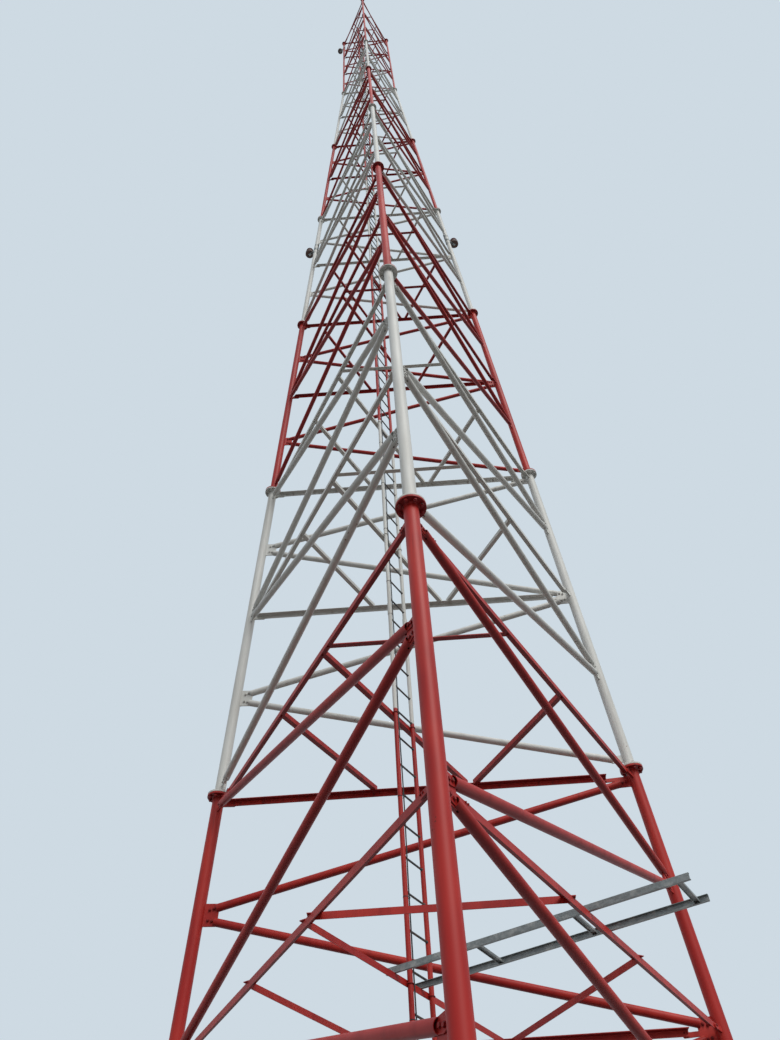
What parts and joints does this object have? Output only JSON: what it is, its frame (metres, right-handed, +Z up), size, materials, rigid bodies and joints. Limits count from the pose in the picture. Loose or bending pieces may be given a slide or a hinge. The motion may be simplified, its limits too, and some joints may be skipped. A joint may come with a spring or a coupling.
{
  "type": "radio mast",
  "caption": "Self-supporting three-legged lattice radio mast in red and white bands, with flanged tubular legs, zig-zag bracing, an inside ladder and warning lamps.",
  "frame": {"origin": "centre of the underside of the front leg's concrete pier", "axes": "+Z up along the mast, +Y from the front leg towards the back side, +X to the right; the mast's own axis stands at X 0, Y 2.85 m"},
  "size_m": [5.9746, 5.1741, 38.13],
  "materials": {
    "red_enamel": "red gloss enamel, weathered",
    "white_enamel": "off-white gloss enamel, weathered",
    "galvanised_steel": "dull galvanised",
    "black_cable": "matt black",
    "lamp_body": "dark brown",
    "concrete": "rough cast concrete"
  },
  "bodies": {
    "root": {"back_face_1": "red_enamel", "back_face_2": "white_enamel", "back_face_3": "red_enamel", "back_face_4": "white_enamel", "back_face_5": "red_enamel", "back_face_6": "white_enamel", "back_face_7": "red_enamel", "base_plates": "galvanised_steel", "cable_tray": "galvanised_steel", "ladder": "white_enamel", "lamp_cable": "black_cable", "lamp_left": "lamp_body", "lamp_right": "lamp_body", "lamp_top": "lamp_body", "left_face_1": "red_enamel", "left_face_2": "white_enamel", "left_face_3": "red_enamel", "left_face_4": "white_enamel", "left_face_5": "red_enamel", "left_face_6": "white_enamel", "left_face_7": "red_enamel", "legs_1": "red_enamel", "legs_2": "white_enamel", "legs_3": "red_enamel", "legs_4": "white_enamel", "legs_5": "red_enamel", "legs_6": "white_enamel", "legs_7": "red_enamel", "pier_front": "concrete", "pier_left": "concrete", "pier_right": "concrete", "plan_bracing_1": "red_enamel", "plan_bracing_2": "white_enamel", "plan_bracing_3": "red_enamel", "plan_bracing_4": "white_enamel", "plan_bracing_5": "red_enamel", "plan_bracing_6": "white_enamel", "plan_bracing_7": "red_enamel", "right_face_1": "red_enamel", "right_face_2": "white_enamel", "right_face_3": "red_enamel", "right_face_4": "white_enamel", "right_face_5": "red_enamel", "right_face_6": "white_enamel", "right_face_7": "red_enamel"}
  },
  "joints": []
}
